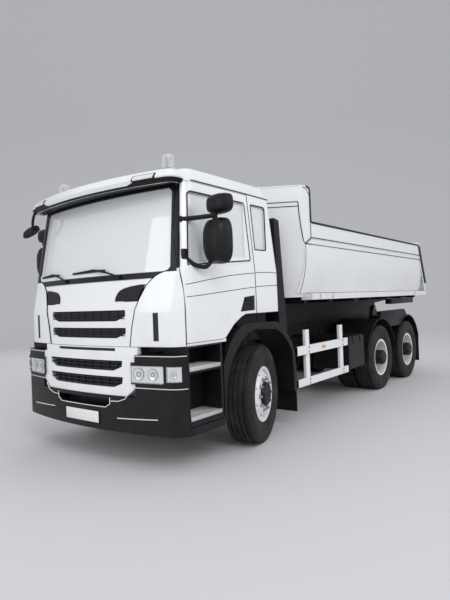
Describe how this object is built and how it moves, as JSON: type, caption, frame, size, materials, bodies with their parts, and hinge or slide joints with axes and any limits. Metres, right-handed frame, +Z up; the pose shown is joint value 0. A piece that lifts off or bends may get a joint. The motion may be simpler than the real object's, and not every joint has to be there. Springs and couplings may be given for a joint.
{
  "type": "three-axle tipper truck",
  "caption": "Tipper truck with a day cab, steered front axle, twin-tyred rear bogie and a half-pipe body that tips to the rear.",
  "frame": {"origin": "on the ground under the middle of the truck's length and width", "axes": "+X forward, +Y to the truck's left, +Z up"},
  "size_m": [7.6181, 3.04, 3],
  "materials": {
    "beacon_amber": "pale beacon lens",
    "dash_grey": "dark grey moulding",
    "engine_grey": "cast iron",
    "frame_black": "satin black chassis paint",
    "glass_pale": "pale window glass",
    "lamp_clear": "clear lamp lens",
    "lamp_red": "red lamp lens",
    "paint_white": "gloss white paint",
    "plastic_black": "grained black plastic",
    "ram_steel": "ground steel",
    "rim_white": "white wheel enamel",
    "seat_cloth": "dark seat cloth",
    "tyre": "black tyre rubber"
  },
  "bodies": {
    "chassis": {"chassis_frame": "frame_black", "tipper_subframe": "frame_black", "engine_block": "engine_grey", "propshaft": "frame_black", "front_axle": "frame_black", "rear_axles": "frame_black", "leaf_springs": "frame_black", "bumper": "plastic_black", "lower_grille": "paint_white", "headlamps": "lamp_clear", "step_wells": "plastic_black", "front_arches": "plastic_black", "side_guards": "paint_white", "battery_box": "plastic_black", "fuel_tank": "frame_black", "rear_mudguards": "plastic_black", "underrun_bar": "frame_black", "tail_lamps": "lamp_red", "intake_stack": "plastic_black", "cab_shell": "paint_white", "front_panel": "paint_white", "corner_panels": "paint_white", "cab_glass": "glass_pale", "sun_visor": "paint_white", "beacons": "beacon_amber", "wipers": "plastic_black", "front_view_mirror": "plastic_black", "dashboard": "dash_grey", "steering_wheel": "dash_grey", "seats": "seat_cloth"},
    "knuckle_left": {"knuckle_left": "frame_black"},
    "knuckle_right": {"knuckle_right": "frame_black"},
    "front_wheel_left": {"front_tyre_left": "tyre", "front_rim_left": "rim_white"},
    "front_wheel_right": {"front_tyre_right": "tyre", "front_rim_right": "rim_white"},
    "rear_wheel_1_left": {"rear_tyres_1_left": "tyre", "rear_rims_1_left": "rim_white"},
    "rear_wheel_1_right": {"rear_tyres_1_right": "tyre", "rear_rims_1_right": "rim_white"},
    "rear_wheel_2_left": {"rear_tyres_2_left": "tyre", "rear_rims_2_left": "rim_white"},
    "rear_wheel_2_right": {"rear_tyres_2_right": "tyre", "rear_rims_2_right": "rim_white"},
    "door_left": {"door_left": "paint_white", "door_glass_left": "glass_pale", "mirror_left": "plastic_black"},
    "door_right": {"door_right": "paint_white", "door_glass_right": "glass_pale", "mirror_right": "plastic_black"},
    "tipping_body": {"bed_floor": "paint_white", "bed_sides": "paint_white", "bed_front": "paint_white", "bed_underframe": "frame_black"},
    "tailgate": {"tailgate": "paint_white"},
    "ram_barrel": {"ram_barrel": "frame_black"},
    "ram_stage_1": {"ram_stage_1": "ram_steel"},
    "ram_stage_2": {"ram_stage_2": "ram_steel"},
    "ram_stage_3": {"ram_stage_3": "ram_steel"}
  },
  "joints": [
    {"name": "steer_left", "type": "hinge", "parent": "chassis", "child": "knuckle_left", "pos_m": [2.38, 1.02, 0.522], "axis": [0, 0, 1], "range_deg": [-50, 25]},
    {"name": "steer_right", "type": "hinge", "parent": "chassis", "child": "knuckle_right", "pos_m": [2.38, -1.02, 0.522], "axis": [0, 0, 1], "range_deg": [-45, 22.5]},
    {"name": "spin_front_left", "type": "hinge", "parent": "knuckle_left", "child": "front_wheel_left", "pos_m": [2.36395, 1.07989, 0.522], "axis": [-0.2588, 0.9659, 0], "continuous": true},
    {"name": "spin_front_right", "type": "hinge", "parent": "knuckle_right", "child": "front_wheel_right", "pos_m": [2.39447, -1.08029, 0.522], "axis": [0.2334, -0.9724, 0], "continuous": true},
    {"name": "spin_rear_1_left", "type": "hinge", "parent": "chassis", "child": "rear_wheel_1_left", "pos_m": [-1.228, 1.07, 0.522], "axis": [0, 1, 0], "continuous": true},
    {"name": "spin_rear_1_right", "type": "hinge", "parent": "chassis", "child": "rear_wheel_1_right", "pos_m": [-1.228, -1.07, 0.522], "axis": [0, -1, 0], "continuous": true},
    {"name": "spin_rear_2_left", "type": "hinge", "parent": "chassis", "child": "rear_wheel_2_left", "pos_m": [-2.586, 1.07, 0.522], "axis": [0, 1, 0], "continuous": true},
    {"name": "spin_rear_2_right", "type": "hinge", "parent": "chassis", "child": "rear_wheel_2_right", "pos_m": [-2.586, -1.07, 0.522], "axis": [0, -1, 0], "continuous": true},
    {"name": "door_left", "type": "hinge", "parent": "chassis", "child": "door_left", "pos_m": [3.5, 1.19, 1.6], "axis": [0, 0, -1], "range_deg": [0, 70]},
    {"name": "door_right", "type": "hinge", "parent": "chassis", "child": "door_right", "pos_m": [3.5, -1.19, 1.6], "axis": [0, 0, 1], "range_deg": [0, 70]},
    {"name": "tip_body", "type": "hinge", "parent": "chassis", "child": "tipping_body", "pos_m": [-2.92, 0, 1.3], "axis": [0, -1, 0], "range_deg": [0, 45]},
    {"name": "tailgate_swing", "type": "hinge", "parent": "tipping_body", "child": "tailgate", "pos_m": [-3.337, 0, 2.53], "axis": [0, 1, 0], "range_deg": [0, 75]},
    {"name": "ram_tilt", "type": "hinge", "parent": "chassis", "child": "ram_barrel", "pos_m": [-0.525, 0, 0.985], "axis": [0, -1, 0], "range_deg": [-40, 40]},
    {"name": "ram_slide_1", "type": "slide", "parent": "ram_barrel", "child": "ram_stage_1", "axis": [-0.133, 0, 0.9911], "range_m": [0, 0.6055]},
    {"name": "ram_slide_2", "type": "slide", "parent": "ram_stage_1", "child": "ram_stage_2", "axis": [-0.133, 0, 0.9911], "range_m": [0, 0.6055]},
    {"name": "ram_slide_3", "type": "slide", "parent": "ram_stage_2", "child": "ram_stage_3", "axis": [-0.133, 0, 0.9911], "range_m": [0, 0.6055]}
  ],
  "couplings": [
    {"joint": "steer_right", "follows": "steer_left", "ratio": 0.9},
    {"joint": "ram_tilt", "follows": "tip_body", "ratio": 0.25176},
    {"joint": "ram_slide_1", "follows": "tip_body", "m_per_rad": 0.76452},
    {"joint": "ram_slide_2", "follows": "tip_body", "m_per_rad": 0.76452},
    {"joint": "ram_slide_3", "follows": "tip_body", "m_per_rad": 0.76452}
  ]
}
